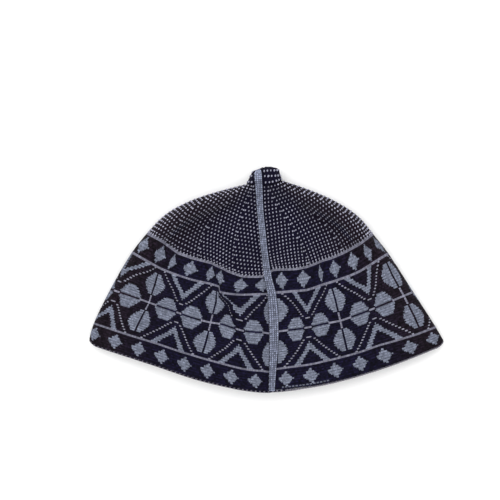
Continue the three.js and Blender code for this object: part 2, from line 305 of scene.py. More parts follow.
def gridFaces(rows, count, closed=False, flip=False):
    # quads of a grid of rows, each joined round; where closed, the last row joins the first
    i, j = np.meshgrid(np.arange(rows if closed else rows - 1), np.arange(count), indexing="ij")
    here, after, beside = i * count, (i + 1) % rows * count, (j + 1) % count
    quads = np.stack([here + j, here + beside, after + beside, after + j], -1).reshape(-1, 4)
    return (quads[:, ::-1] if flip else quads).tolist()


def tipFaces(rows, count):
    # triangles that draw the first and last row together on two points kept after the grid's own
    j = np.arange(count)
    beside, last, tip = (j + 1) % count, (rows - 1) * count, rows * count + 0 * j
    return np.stack([beside, j, tip], -1).tolist() + np.stack([last + j, last + beside, tip + 1], -1).tolist()


def withTips(points):
    # a grid's points, then the middles of its first and last row
    return np.concatenate([points.reshape(-1, 3), points[:1].mean(1), points[-1:].mean(1)])


def unit(vectors):
    return vectors / np.linalg.norm(vectors, axis=-1, keepdims=True)


def frameOf(centre, beside, above):
    # directions round the cap, to the knob and outward at each centre
    across = unit(beside - centre)
    normal = unit(np.cross(across, above - centre))
    return across, np.cross(normal, across), normal


def runOf(points):
    # length walked along a line of points, at each of them
    return np.concatenate([[0], np.cumsum(np.linalg.norm(np.diff(points, axis=0), axis=1))])


def paintFaces(piece, colors):
    # one colour for each face, kept on its corners
    mesh = piece.data
    counts = np.empty(len(mesh.polygons), int)
    mesh.polygons.foreach_get("loop_total", counts)
    layer = mesh.color_attributes.new("yarnColor", "FLOAT_COLOR", "CORNER")
    full = np.concatenate([colors, np.ones((len(colors), 1))], 1)
    layer.data.foreach_set("color", np.repeat(full, counts, axis=0).astype(np.float32).ravel())


def placeStitches(piece, courses, wales):
    # course and wale of each vertex, for the yarn's relief; the rest, such as closing tips, stay at 0
    full = np.zeros((len(piece.data.vertices), 3))
    places = np.stack(np.broadcast_arrays(courses, wales), -1).reshape(-1, 2)
    full[:len(places), :2] = places
    layer = piece.data.attributes.new("stitchPlace", "FLOAT_VECTOR", "POINT")
    layer.data.foreach_set("vector", full.astype(np.float32).ravel())


def outwards(points):
    # outward directions on a grid of points, from their neighbours
    return unit(np.cross(np.roll(points, -1, 1) - np.roll(points, 1, 1), np.gradient(points, axis=0)))


def linear(red, green, blue):
    # colour as it is seen, 0 to 255, to scene values
    seen = np.array([red, green, blue]) / 255
    return np.where(seen <= 0.04045, seen / 12.92, ((seen + 0.055) / 1.055) ** 2.4)


# Yarns
yarns = {
    "ink": linear(14, 12, 32),
    "warmLitInk": linear(24, 17, 26),  # the ink where it catches warm light, at the sides
    "grey": linear(109, 114, 130),
    "line": linear(116, 116, 131),
    "dot": linear(134, 134, 149),
    "edge": linear(124, 121, 131),
    "seam": linear(131, 137, 159),
    "shadeSpread": 0.28,  # from stitch to stitch
    "patchSpread": 0.26,  # from one pair of courses to the next
    "roughness": 0.88,
    "specular": 0.06,
    "sheenRoughness": 0.5,
    "fibreScale": 2600,
    "cloudScale": 38,
    "waver": 0.3,  # how much fibres and soft clouds lighten or darken
    "fuzzRelief": 0.35,  # of the loops' relief
}


def yarnLooks(name, reliefDepth, loopLean, sheen, loopShade):
    # knitted yarn: colour from the chart, relief from the place of each stitch
    material = bpy.data.materials.new(name)
    material.use_nodes = True
    nodes, link = material.node_tree.nodes, material.node_tree.links.new
    shader = nodes["Principled BSDF"]
    shader.inputs["Roughness"].default_value = yarns["roughness"]
    shader.inputs["Specular IOR Level"].default_value = yarns["specular"]
    shader.inputs["Sheen Weight"].default_value = sheen
    shader.inputs["Sheen Roughness"].default_value = yarns["sheenRoughness"]
    coordinate = nodes.new("ShaderNodeTexCoord")

    def attribute(name):
        node = nodes.new("ShaderNodeAttribute")
        node.attribute_name = name
        return node.outputs

    def noise(scale, detail):
        node = nodes.new("ShaderNodeTexNoise")
        node.inputs["Scale"].default_value = scale
        node.inputs["Detail"].default_value = detail
        link(coordinate.outputs["Object"], node.inputs["Vector"])
        return node.outputs["Fac"]

    def maths(operation, *values):
        node = nodes.new("ShaderNodeMath")
        node.operation = operation
        for socket, value in zip(node.inputs, values):
            if isinstance(value, bpy.types.NodeSocket):
                link(value, socket)
            else:
                socket.default_value = value
        return node.outputs[0]

    parts = nodes.new("ShaderNodeSeparateXYZ")
    link(attribute("stitchPlace")["Vector"], parts.inputs[0])
    course, wale = parts.outputs[0], parts.outputs[1]
    # each stitch is a V lying along its wale: two legs that meet at the wale's middle
    fromMiddle = maths("ABSOLUTE", maths("SUBTRACT", maths("FRACT", wale), 0.5))
    lean = maths("ADD", course, maths("MULTIPLY", fromMiddle, loopLean))
    leg = maths("SINE", maths("MULTIPLY", maths("FRACT", lean), np.pi))
    strand = maths("SINE", maths("MULTIPLY", fromMiddle, 2 * np.pi))
    loop = maths("MULTIPLY", maths("POWER", leg, 0.6), maths("POWER", strand, 0.5))
    fibre, cloud = noise(yarns["fibreScale"], 3), noise(yarns["cloudScale"], 2)
    # painted shade between the loops, with soft uneven patches of tone
    shade = maths("MULTIPLY_ADD", loop, loopShade, 1.1 - 0.8 * loopShade)
    for noisy in (cloud, fibre):
        waver = maths("MULTIPLY_ADD", noisy, yarns["waver"], 1 - yarns["waver"] / 2)
        shade = maths("MULTIPLY", shade, waver)
    colored = nodes.new("ShaderNodeVectorMath")
    colored.operation = "SCALE"
    link(attribute("yarnColor")["Color"], colored.inputs[0])
    link(shade, colored.inputs["Scale"])
    link(colored.outputs[0], shader.inputs["Base Color"])
    bump = nodes.new("ShaderNodeBump")
    bump.inputs["Strength"].default_value = 1
    bump.inputs["Distance"].default_value = reliefDepth
    link(maths("ADD", loop, maths("MULTIPLY", fibre, yarns["fuzzRelief"])), bump.inputs["Height"])
    link(bump.outputs[0], shader.inputs["Normal"])
    return material


finishes = {  # depth of the relief, lean of the loops, sheen, shade between the loops
    "navy_double_knit": (0.22 * mm, 1.1, 0.02, 0.75),
    "raised_loops": (0.1 * mm, 0.8, 0.05, 0.4),
    "grey_seam_knit": (0.12 * mm, 1.0, 0.05, 0.2),
    "overlock_thread": (0.15 * mm, 0.8, 0.05, 0.4),
}
fabricLooks, dotLooks, seamLooks, edgeLooks = [yarnLooks(name, *finish) for name, finish in finishes.items()]
chance = np.random.default_rng(11)  # fixed start, so that each run is the same


def groundInkWithWarmLight(shares, form):
    # the ground's colour, with painted warm light towards the side folds
    warm = smooth((np.abs(shares) - form["warmLightFrom"]) / form["warmLightOver"])[..., None]
    return mix(yarns["ink"], yarns["warmLitInk"], warm)


def uneven(count):
    # small differences of shade from stitch to stitch
    return 1 + yarns["shadeSpread"] * chance.uniform(-1, 1, (count, 1))


# The knitted chart of the wall. Courses run from rim to crown, wales round the cap.
wallChart = {
    "period": 66,  # courses from flower to flower
    "flowers": 10,
    "wales": 92,
    "lines": (15, 77, 91),
    "middle": 46,
    "thickWales": {15: 1.6, 46: 1.5, 77: 1.6, 91: 1.6},  # the light lines are knitted wider
    "thickCourse": {"spread": 0.4, "reach": 8},  # and so is the middle course of each flower
    "sidePetal": {"from": 20.3, "halfWide": 8.7, "halfHigh": 9.9, "taper": 0.6},
    "endPetal": {"from": 17, "halfWide": 9.4, "halfHigh": 9.9, "taper": 0.62},
    "petalShoulder": 0.2,  # share of a petal's height where its sides begin to slope
    "petalRound": 1.15,
    "stem": 7,
    "dash": {"at": 8, "half": 2},
    "dots": {"first": 10, "last": 30, "inset": 5},
    "stroke": {"outer": 12, "outerLean": 0.91, "inner": 17.6, "innerLean": 0.9, "tooth": 0.4},
    "tucked": {"from": 594, "to": 624, "above": 15, "left": 1.8},  # this stroke is half hidden in the tuck
    "hemBeads": {"wale": 1, "first": 2, "last": 46},  # beads above the rim, right of the seam
    "lowDiamond": {"wale": 7, "halfWide": 6.6, "halfHigh": 5.4},
    "highDiamond": {"wale": 84, "halfWide": 6.8, "halfHigh": 5.4},
    "diamondRound": 1.15,
    "diamondStep": 22,
    "diamondShift": 8,  # courses from a flower's middle to the next diamond's
    "ragged": 0.6,  # courses by which the ends of neighbouring wales differ
}


def raggedOf(sideways, upwards):
    # how much further each wale's stitches reach than a plain edge, not the same on both sides
    return wallChart["ragged"] * np.sin(upwards * 2.6 + np.sign(sideways) * 1.3 + 0.4)


def petal(sideways, upwards, size):
    # stitches of a petal, a rounded six-sided leaf
    share = np.clip(np.abs(upwards) / size["halfHigh"], 0, 1)
    slope = np.clip(share - wallChart["petalShoulder"], 0, 1) / (1 - wallChart["petalShoulder"])
    wide = size["halfWide"] * (1 - size["taper"] * slope ** wallChart["petalRound"])
    return (share < 1) & (np.abs(sideways) < wide + raggedOf(sideways, upwards))


def diamond(sideways, upwards, size):
    share = np.abs(upwards) / size["halfHigh"]
    reach = size["halfWide"] * (1 - share ** wallChart["diamondRound"])
    return (share < 1) & (np.abs(sideways) < reach + raggedOf(sideways, upwards))


def chartOf(course, wale):
    # 0 ink, 1 grey, 2 line, 3 bright dot
    c = wallChart
    course, wale = np.broadcast_arrays(course, wale)
    period, step = c["period"], c["diamondStep"]
    fromFlower = (course + period // 2) % period - period // 2
    fromTip = course % period - period // 2
    up = wale - c["middle"]
    high = np.abs(up)
    band = c["lines"][1] - c["middle"]
    yarn = np.zeros(course.shape, int)
    stroke = c["stroke"]
    tooth = stroke["tooth"] * np.where(wale % 2 == 0, 1, -1)
    outside = stroke["outerLean"] * (high - stroke["outer"])
    inside = stroke["innerLean"] * (high - stroke["inner"])
    yarn[(np.abs(fromTip) < outside + tooth) & (np.abs(fromTip) > inside - tooth) & (high < band)] = 1
    tucked = c["tucked"]
    inTuck = (course > tucked["from"]) & (course < tucked["to"]) & (up > tucked["above"])
    yarn[inTuck & (np.abs(fromTip) > inside + tucked["left"])] = 0
    yarn[(high == c["dash"]["at"]) & (np.abs(fromTip) <= c["dash"]["half"])] = 3
    dots = c["dots"]
    onDotWale = ((high - dots["first"]) % 2 == 0) & (high >= dots["first"]) & (high <= dots["last"])
    dotPlace = np.abs(fromTip) - (high - dots["inset"])
    yarn[onDotWale & (dotPlace >= 0) & (dotPlace < 2)] = 3
    yarn[(high < c["stem"]) & (fromFlower == 0)] = 2
    yarn[high == 0] = 2
    side, end = c["sidePetal"], c["endPetal"]
    onSide = petal(np.abs(fromFlower) - side["from"], up, side)
    yarn[onSide] = 1
    yarn[onSide & (high == 0)] = 0
    onEnd = petal(fromFlower, high - end["from"], end)
    yarn[onEnd] = 1
    yarn[onEnd & (fromFlower == 0)] = 0
    fromDiamond = (course - c["diamondShift"] + step // 2) % step - step // 2
    for size in (c["lowDiamond"], c["highDiamond"]):
        yarn[diamond(fromDiamond, wale - size["wale"], size)] = 1
    beads = c["hemBeads"]
    beaded = (course > beads["first"]) & (course < beads["last"]) & (course % 3 > 0)
    yarn[(wale == beads["wale"]) & beaded] = 1
    yarn[np.isin(wale, c["lines"])] = 2
    return yarn


# Where the courses lie on the front: flower number against place across in rulings, at six heights
courseRuns = {
    "wales": (7, 29, 46, 64, 76, 84),
    "places": (0.047, 0.185, 0.28, 0.39, 0.465, 0.513),
    "right": (
        ((-0.02, "edge"), (0.12, 18.5), (0.453, 44), (0.787, 68.5), (1.12, 93), (1.453, 117.5),
         (1.787, 143), (2.12, 166)),
        ((0.03, "edge"), (0.141, 21), (0.5, 42.5), (0.859, 66.5), (1, 77), (1.141, 87.5), (1.5, 109),
         (2, 146)),
        ((0.05, "edge"), (0.177, 20.5), (0.438, 36.5), (0.562, 45), (0.823, 62), (1, 72.5), (1.177, 82.5),
         (1.438, 101), (1.562, 107.5), (1.823, 126), (2, 136.5)),
        ((0.03, "edge"), (0.141, 21.5), (0.5, 40), (0.859, 58), (1, 68), (1.141, 77.5), (1.5, 99.5),
         (1.859, 115), (2, 124.5)),
        ((0.05, "edge"), (0.227, 24.5), (0.5, 38.5), (0.773, 55), (1, 64), (1.227, 76), (1.5, 92),
         (1.773, 104.5), (2, 117)),
        ((0.017, 8.5), (0.223, 20.5), (0.35, 30), (0.556, 43), (0.684, 52.3), (0.89, 56.7), (1.017, 63.2),
         (1.223, 73.8), (1.35, 81.5), (1.556, 91.5), (1.684, 97.7), (1.89, 104.3), (2.12, 112)),
    ),
    "left": (
        ((-2.213, -152.5), (-1.88, -129.5), (-1.547, -106), (-1.213, -83), (-0.88, -60.5), (-0.547, -36.5),
         (-0.213, -12), (0, "edge")),
        ((-2.5, -157), (-2.141, -137.5), (-2, -127), (-1.859, -117), (-1.5, -93), (-1.141, -73), (-1, -61),
         (-0.859, -51.5), (-0.5, -28.5), (-0.141, -4.5), (0, "edge")),
        ((-2.438, -147.5), (-2.177, -126.5), (-2, -118), (-1.823, -111.5), (-1.562, -91), (-1.438, -85.5),
         (-1.177, -65), (-1, -56.5), (-0.823, -48), (-0.562, -32), (-0.438, -22.5), (-0.177, -3.5),
         (0, "edge")),
        ((-2.5, -144), (-2.141, -120.5), (-2, -111.5), (-1.859, -101.5), (-1.5, -83), (-1.141, -61),
         (-1, -51), (-0.859, -42), (-0.69, -37.8), (-0.57, -36.4), (-0.5, -26.5), (-0.141, -3),
         (0, "edge")),
        ((-2.33, -121), (-2.227, -115), (-2, -107), (-1.773, -96), (-1.67, -91), (-1.33, -69),
         (-1.227, -62), (-1, -50), (-0.773, -45.5), (-0.67, -43.5), (-0.33, -13), (-0.227, -5),
         (-0.1, "edge")),
        ((-2.65, -127.5), (-2.444, -118.5), (-2.316, -111.3), (-2.11, -100.7), (-1.983, -96), (-1.777, -90),
         (-1.65, -82.3), (-1.444, -69.7), (-1.316, -61), (-1.11, -53), (-0.983, -51.8), (-0.777, -43.2),
         (-0.65, -32.5), (-0.444, -19.5), (-0.316, -12), (-0.15, "edge")),
    ),
    "firstCourse": -13,
    "lastCourse": 663,
}


def aroundOfCourses(flower):
    # place round the cap of each flower number, at the six heights
    runs = []
    total = wallChart["flowers"]
    first, last = [courseRuns[name] / wallChart["period"] for name in ("firstCourse", "lastCourse")]
    for k, place in enumerate(courseRuns["places"]):
        row = rowAt(place)
        ring = ringOf(row)
        seam = aroundOf(seamAcross(row, 0), ring)[0]

        def placed(entries, side, turns):
            out = []
            for number, across in entries:
                share = seamAcross(row, side) if across == "edge" else shareAcross(row, across * ruling)
                out.append((number + turns, aroundOf(share, ring)[0]))
            return out

        right = [(first, seam)] + placed(courseRuns["right"][k], 1, 0)
        left = placed(courseRuns["left"][k], -1, total) + [(last, seam)]
        left = [(number, around + 4) for number, around in left]
        # the cloth between runs on evenly, round the right fold, the back and the left fold
        toFold = (1 - right[-1][1]) * ring[1] / 2
        fromFold = (left[0][1] - 3) * ring[1] / 2
        whole = toFold + ring[2] + fromFold
        span = left[0][0] - right[-1][0]
        folds = [(right[-1][0] + span * toFold / whole, 1), (left[0][0] - span * fromFold / whole, 3)]
        numbers, places = zip(*(right + folds + left))
        runs.append(np.interp(flower, numbers, places))
    return np.array(runs)


# Steps of the rows beside the seam and at the tuck, in shares of lyingLength
rowSteps = {
    "wales": (0, 15, 46, 77, 92),
    "rightOfSeam": (0.0065, 0.0167, 0.011, 0, 0.025),
    "reach": 0.33,
    "tuck": {"across": -0.315, "wale": 77, "wales": 9, "drop": -0.023, "sharp": 0.012, "reach": 0.02},
    "corner": {"from": 0.955, "rise": 0.015, "wales": 14},  # the rim turns up a little at its folds
}
# The long lines wave: how far each lies above its even place, in rulings
lineWaves = {
    "across": (-135, -105, -87, -75, -57, -50, -45, -25, -5, 10, 25, 40, 57, 73, 93, 113, 150),
    "wales": (0, 15, 46, 77, 91),
    "rises": (
        (0, 0, 0, 0, 0, 0, 0, 0, 0, 0, 0, 0, 0, 0, 0, 0, 0),
        (1.5, 2, 2, 2.5, 2.5, 2.5, 2.5, 2.5, 3, 1, 2, 2.5, 3, 2.5, 2, 2.5, 0),
        (2.3, 1.3, 1.5, 1.5, 2.5, 3.5, 4, 2.5, 3, 0.5, 0.7, 1, 0.8, -1, -0.5, 0, 0),
        (1.5, -0.7, -0.2, 0.2, 1.8, 1.5, 0.7, 0.3, 1, 2.5, 2.4, 1.2, 2.5, 2, 0.3, 0.5, 0),
        (0, 0, -2.5, -1.2, 3, 2.6, 2.3, 0, 1.5, 2, 2.9, 2.4, 4.4, 3.5, 1.5, 2, 0),
    ),
}


def waleEdges():
    # where each wale begins, counted in even wales
    widths = np.ones(wallChart["wales"])
    for wale, width in wallChart["thickWales"].items():
        widths[wale] = width
    return np.concatenate([[0], np.cumsum(widths)])


waleStarts = waleEdges()
lineMiddles = [(waleStarts[k] + waleStarts[k + 1]) / 2 for k in wallChart["thickWales"]]
waleRuns = {
    "starts": (0, *lineMiddles, waleStarts[-1]),
    "places": (rimSetBack, 0.094, 0.28, 0.47, 0.555, 0.561),  # shares of lyingLength
}
crownStart = waleRuns["places"][-1]
stepsEnd = 0.35  # share of the crown over which its rows lose the steps of the wall


def stepsAt(wale, across, row):
    # how far along the cap the rows step and wave, in shares of lyingLength
    s, tuck = rowSteps, rowSteps["tuck"]
    seamLeft, seamRight = seamAcross(row, -1)[0], seamAcross(row, 1)[0]
    rise = np.clip((across - seamLeft) / (seamRight - seamLeft), 0, 1)
    fade = 1 - smooth((across - seamRight) / (s["reach"] - seamRight))
    step = np.interp(wale, s["wales"], s["rightOfSeam"]) * rise * fade
    past = smooth((across - tuck["across"]) / tuck["sharp"])
    past = past * (1 - smooth((across - tuck["across"]) / (tuck["reach"] - tuck["across"])))
    step = step + tuck["drop"] * past * np.exp(-((wale - tuck["wale"]) / tuck["wales"]) ** 2)
    place = mix(row["left"], row["right"], (across + 1) / 2) / ruling
    waves = np.array([np.interp(place, lineWaves["across"], rises) for rises in lineWaves["rises"]])
    upper = min(np.searchsorted(lineWaves["wales"], wale, side="right"), len(waves) - 1)
    low, high = lineWaves["wales"][upper - 1], lineWaves["wales"][upper]
    wave = mix(waves[upper - 1], waves[upper], np.clip((wale - low) / (high - low), 0, 1))
    return step + wave * ruling / capForm["lyingLength"]


def cornerRise(wale, across):
    # how far both layers of the rim turn up beside the folds, in shares of lyingLength
    corner = rowSteps["corner"]
    turned = np.clip((np.abs(across) - corner["from"]) / (1 - corner["from"]), 0, 1) ** 2
    return corner["rise"] * turned * np.clip(1 - wale / corner["wales"], 0, 1)


def clothPoints(places, wales, arounds, inside=0):
    # points of a grid: rows by place along the cap, columns by place round it, and their shares across
    points, shares = [], []
    for place, wale, around in zip(places, wales, arounds):
        row = rowAt(place)
        across, front = acrossOf(around, ringOf(row))
        left = 1
        if wale >= wallChart["wales"]:
            left = np.clip(1 - (place - crownStart) / (1 - crownStart) / stepsEnd, 0, 1) ** 2
        step = np.where(front, stepsAt(wale, across, row), 0) * left + cornerRise(wale, across)
        rows = insideOf(fabricRow(np.minimum(place + step, 1)), inside)
        points.append(onRows(rows, across, front))
        shares.append(np.where(front, across, np.sign(across) * 2 - across))
    return np.array(points), np.array(shares)


wallForm = {
    "rises": (0, 0.1 * mm, 0.22 * mm, 0.26 * mm),  # ink, grey, line and dot yarn over the ground
    "innerRows": 13,
    "warmLightFrom": 0.55,  # share across where the painted warm light on the ink begins
    "warmLightOver": 0.4,
    "ribShade": (0.3, 0.19, 0.1, 0),  # painted shade: every second wale darker, as if it lay deeper
    "blocks": (2.8, 1, 0.6, 0.5),
    "floatShare": 0.4,  # of the inside's stitches that are grey
    "floatTone": 0.7,
}


def buildWall():
    c = wallChart
    w = wallForm
    courses = np.arange(courseRuns["firstCourse"], courseRuns["lastCourse"] + 1)
    count = len(courses) - 1
    fromFlower = (courses[:-1] + c["period"] // 2) % c["period"] - c["period"] // 2 - 0.5
    thick = c["thickCourse"]
    widened = thick["spread"] * np.clip(1 - (np.abs(fromFlower) - 0.5) / thick["reach"], 0, 1)
    runs = aroundOfCourses((courses[:-1] - 0.5 + widened * np.sign(fromFlower)) / c["period"])
    wales = np.arange(c["wales"] + 1)
    # first and last course meet under the seam
    arounds = np.array([np.interp(wales, courseRuns["wales"], runs[:, j]) for j in range(count)]).T
    places = curveThrough(waleRuns["starts"], waleRuns["places"], waleStarts)
    outer, shares = clothPoints(places, wales, arounds)
    yarn = chartOf(courses[None, :-1], np.arange(c["wales"])[:, None])
    # grey yarn stands a little proud of the ground
    rise = np.array(w["rises"])[yarn]
    corner = np.zeros(outer.shape[:2])
    pair = (np.roll(rise, 1, 1) + rise) / 4
    corner[:-1] += pair
    corner[1:] += pair
    outer = outer + outwards(outer) * corner[..., None]
    innerWales = np.linspace(c["wales"], 0, w["innerRows"])
    innerRows = np.array([arounds[int(round(wale))] for wale in innerWales])
    innerPlaces = np.interp(innerWales, wales, places)
    inner, _ = clothPoints(innerPlaces, innerWales, innerRows, capForm["wall"])
    points = np.concatenate([outer, inner])
    faces = gridFaces(len(points), count, closed=True)
    piece = addPiece("patterned_wall", points, faces, fabricLooks, ["knitted_shell"])
    shade = np.stack([yarns["ink"], yarns["grey"], yarns["line"], yarns["dot"]])
    ground = groundInkWithWarmLight(shares[:-1], w)
    # painted shade on every second wale, then random patches of tone
    ribShade = 1 + np.array(w["ribShade"])[yarn] * np.where(np.arange(c["wales"]) % 2, -1, 1)[:, None]
    blocks = chance.uniform(-1, 1, (c["wales"], count // 2 + 1))[:, np.arange(count) // 2]
    ribShade = ribShade * (1 + yarns["patchSpread"] * np.array(w["blocks"])[yarn] * blocks)
    colors = (np.where((yarn == 0)[..., None], ground, shade[yarn]) * ribShade[..., None]).reshape(-1, 3)
    floats = chance.random((len(faces) - len(colors), 1)) < w["floatShare"]
    inside = np.where(floats, yarns["grey"] * w["floatTone"], yarns["ink"])
    paintFaces(piece, np.concatenate([colors, inside]) * uneven(len(faces)))
    placeStitches(piece, np.arange(count)[None], np.arange(len(points))[:, None])


buildWall()
print("wall knitted")

# The crown: dark ground with a light raised loop on every third wale
crown = {
    "rows": 46,
    "columns": 330,
    "dotRows": 24,
    "firstGores": (0.30, 0.573, 0.83),  # gore lines right of the seam, in places round from the seam
    "lastGores": (-0.79, -0.526, -0.245),
    "gores": 15,
    "dotPitch": 2.52 * mm,
    "dotWide": 1.08 * mm,
    "dotLong": 1.5 * mm,
    "dotHigh": 0.55 * mm,
    "edgeRow": 0.1,  # rows from the crown's edge to the close row on it, and to the first row above
    "firstRow": 0.75,
    "lastGap": 0.3,
    "edgeDots": (0.8, 1.2),  # width and length of the close row's loops, in shares
    "besideSeam": 0.8,
    "paintedLightFrom": (0, 5 * mm, 8 * mm, 15 * mm, 22 * mm),  # painted light and shade of the loops, at these distances in from the side folds
    "paintedLight": (1.5, 1.5, 0.8, 0.8, 1.05),
    "loopToneSpread": 0.2,
    "sizeSpread": 0.12,
    "lean": 0.35,
    "leanSpread": 0.5,
    "lineLean": 0.7,
    "kink": 0.0524,  # how far a row's straight run stands off the round, in shares of its length
    "kinkMean": 0.67,
    # painted warm light on the crown's ink towards the side folds
    "warmLightFrom": 0.45,
    "warmLightOver": 0.5,
    "innerRows": 12,
    "wale": 1.06 * mm,
    "innerWales": 5.5,  # wales from one inner row to the next
    "probe": 0.004,
    "probeBackFrom": 0.99,
}


def crownPoints(places, around, inside=0):
    return clothPoints(places, [wallChart["wales"]] * len(places), [around] * len(places), inside)


def buildCrown():
    c = crown
    count = c["columns"]
    around = evenRound(count)
    places = np.linspace(crownStart, 1, c["rows"] + 1)[::-1]
    outer, shares = crownPoints(places, around)
    innerEnd = 1 - 2 * capForm["wall"] / capForm["lyingLength"]
    inner, _ = crownPoints(np.linspace(crownStart, innerEnd, c["innerRows"]), around, capForm["wall"])
    points = np.concatenate([outer, inner])
    faces = gridFaces(len(points), count, flip=True) + tipFaces(len(points), count)
    piece = addPiece("crown_ground", withTips(points), faces, fabricLooks, ["knitted_shell"])
    colors = groundInkWithWarmLight(shares[:-1], c).reshape(-1, 3)
    rest = np.repeat(yarns["ink"][None], len(faces) - len(colors), 0)
    paintFaces(piece, np.concatenate([colors, rest]) * uneven(len(faces)))
    outerWales = (places - places[-1]) * capForm["lyingLength"] / c["wale"]
    wales = wallChart["wales"] + np.concatenate([outerWales, np.arange(c["innerRows"]) * c["innerWales"]])
    placeStitches(piece, np.arange(count)[None] * 2, wales[:, None])


buildCrown()
print("crown knitted")

# Small raised loops, on the crown and on the knob
loopShape = {
    "sides": 8,
    "rings": ((1.0, -0.35), (0.86, 0.55), (0.45, 0.95)),  # half widths and heights of each ring
}


def leaning(across, along, normal, lean):
    # the short and the long way of loops that lean off the line to the knob
    longWay = along * np.cos(lean) + across * np.sin(lean)
    return np.cross(longWay, normal), longWay


def addLoops(name, nodes, centres, wideWay, longWay, normals, wide, long, high):
    # one loop at each centre, all in one piece
    sides, rings = loopShape["sides"], loopShape["rings"]
    turn = np.linspace(0, 2 * np.pi, sides, endpoint=False)
    local = np.array([(np.cos(t) * r, np.sin(t) * r, h) for r, h in rings for t in turn] + [(0, 0, 1)])
    points = (centres[:, None]
              + wideWay[:, None] * (local[None, :, :1] * wide[:, None, None] / 2)
              + longWay[:, None] * (local[None, :, 1:2] * long[:, None, None] / 2)
              + normals[:, None] * (local[None, :, 2:] * high))
    quads = np.array(gridFaces(len(rings), sides))
    k = np.arange(sides)
    last = (len(rings) - 1) * sides
    top = np.stack([last + k, last + (k + 1) % sides, last + sides + 0 * k], -1)
    offsets = (np.arange(len(centres)) * len(local))[:, None, None]
    faces = (quads + offsets).reshape(-1, 4).tolist() + (top + offsets).reshape(-1, 3).tolist()
    piece = addPiece(name, points, faces, dotLooks, nodes)
    every = np.tile(local, (len(centres), 1))
    placeStitches(piece, every[:, 1] * 1.2, 0.5 + every[:, 0] * 0.5)
    return piece, len(faces)


def goreLines():
    # places round from the seam of the crown's gore lines
    first, last = crown["firstGores"], [4 + place for place in crown["lastGores"]]
    between = crown["gores"] - len(first) - len(last) - 1
    middle = np.linspace(first[-1], last[0], between + 2)[1:-1]
    return np.array([0, *first, *middle, *last, 4.0])


def surfaceFrame(place, around):
    # points on the crown, with the directions round it, to the knob and outward
    probe = crown["probe"]
    forward = probe if place < crown["probeBackFrom"] else -probe
    centre, beside, above = [crownPoints([place + up], around + aside)[0][0]
                             for up, aside in ((0, 0), (0, probe), (forward, 0))]
    return centre, *frameOf(centre, beside, centre + (above - centre) * np.sign(forward))


def buildDots():
    c = crown
    lines = goreLines()
    last = len(lines) - 2
    rowPitch = (1 - crownStart) / (c["dotRows"] + c["lastGap"])
    parts = []
    for k in range(-1, c["dotRows"]):
        place = crownStart + (k + c["firstRow"] if k >= 0 else c["edgeRow"]) * rowPitch
        row = rowAt(place)
        ring = ringOf(row)
        seamPlace = aroundOf(seamAcross(row, 0), ring)[0]
        edge = (aroundOf(seamAcross(row, 1), ring) - seamPlace)[0] * c["besideSeam"]
        length = (ring[1] + ring[2]) / 4  # cloth length for one unit of place round
        for gore in range(last + 1):
            near = edge if gore == 0 else lines[gore]
            far = 4 - edge if gore == last else lines[gore + 1]
            count = int((far - near) * length / c["dotPitch"] + 0.35)
            if count < 1:
                continue
            offset = (np.arange(count) + 0.5) * c["dotPitch"] / length
            # left of the seam the columns are counted from its side too
            around = far - offset if gore > last / 2 else near + offset
            onLine = gore > 0 and k % 2 == 0
            if onLine:
                around = np.concatenate([around, [near]])  # a leaning loop where two gores meet
                count += 1
            share = (around - near) / (far - near)
            centre, across, along, normal = surfaceFrame(place, seamPlace + around)
            # rows run straight from gore line to gore line
            chord = (far - near) * length * c["kink"] * smooth((k + 1) / 4)
            centre = centre + along * (chord * (4 * share * (1 - share) - c["kinkMean"]))[:, None]
            lean = c["lean"] * (1 + c["leanSpread"] * chance.uniform(-1, 1, count))[:, None]
            lean[-1] += c["lineLean"] * onLine
            size = 1 + c["sizeSpread"] * chance.uniform(-1, 1, count)
            inward = (1 - np.abs(acrossOf(seamPlace + around, ring)[0])) * (row["right"] - row["left"])[0] / 2
            # painted light and shade: loops lighter on the rolled edge, darker on the slope in from it
            paintedLight = np.interp(inward, c["paintedLightFrom"], c["paintedLight"])
            wide, long = c["edgeDots"] if k < 0 else (1, 1)
            parts.append((centre, *leaning(across, along, normal, lean), normal,
                          c["dotWide"] * size * wide, c["dotLong"] * size * long,
                          paintedLight * (1 + c["loopToneSpread"] * chance.uniform(-1, 1, count))))
    *form, bright = [np.concatenate(column) for column in zip(*parts)]
    piece, _ = addLoops("crown_loops", ["knitted_shell"], *form, c["dotHigh"])
    sides, rings = loopShape["sides"], len(loopShape["rings"])
    # the loops' colours carry their painted light and shade and a random spread of tone
    shades = np.concatenate([np.repeat(bright, (rings - 1) * sides), np.repeat(bright, sides)])
    paintFaces(piece, yarns["dot"] * shades[:, None])
    print("crown loops:", len(bright))


buildDots()

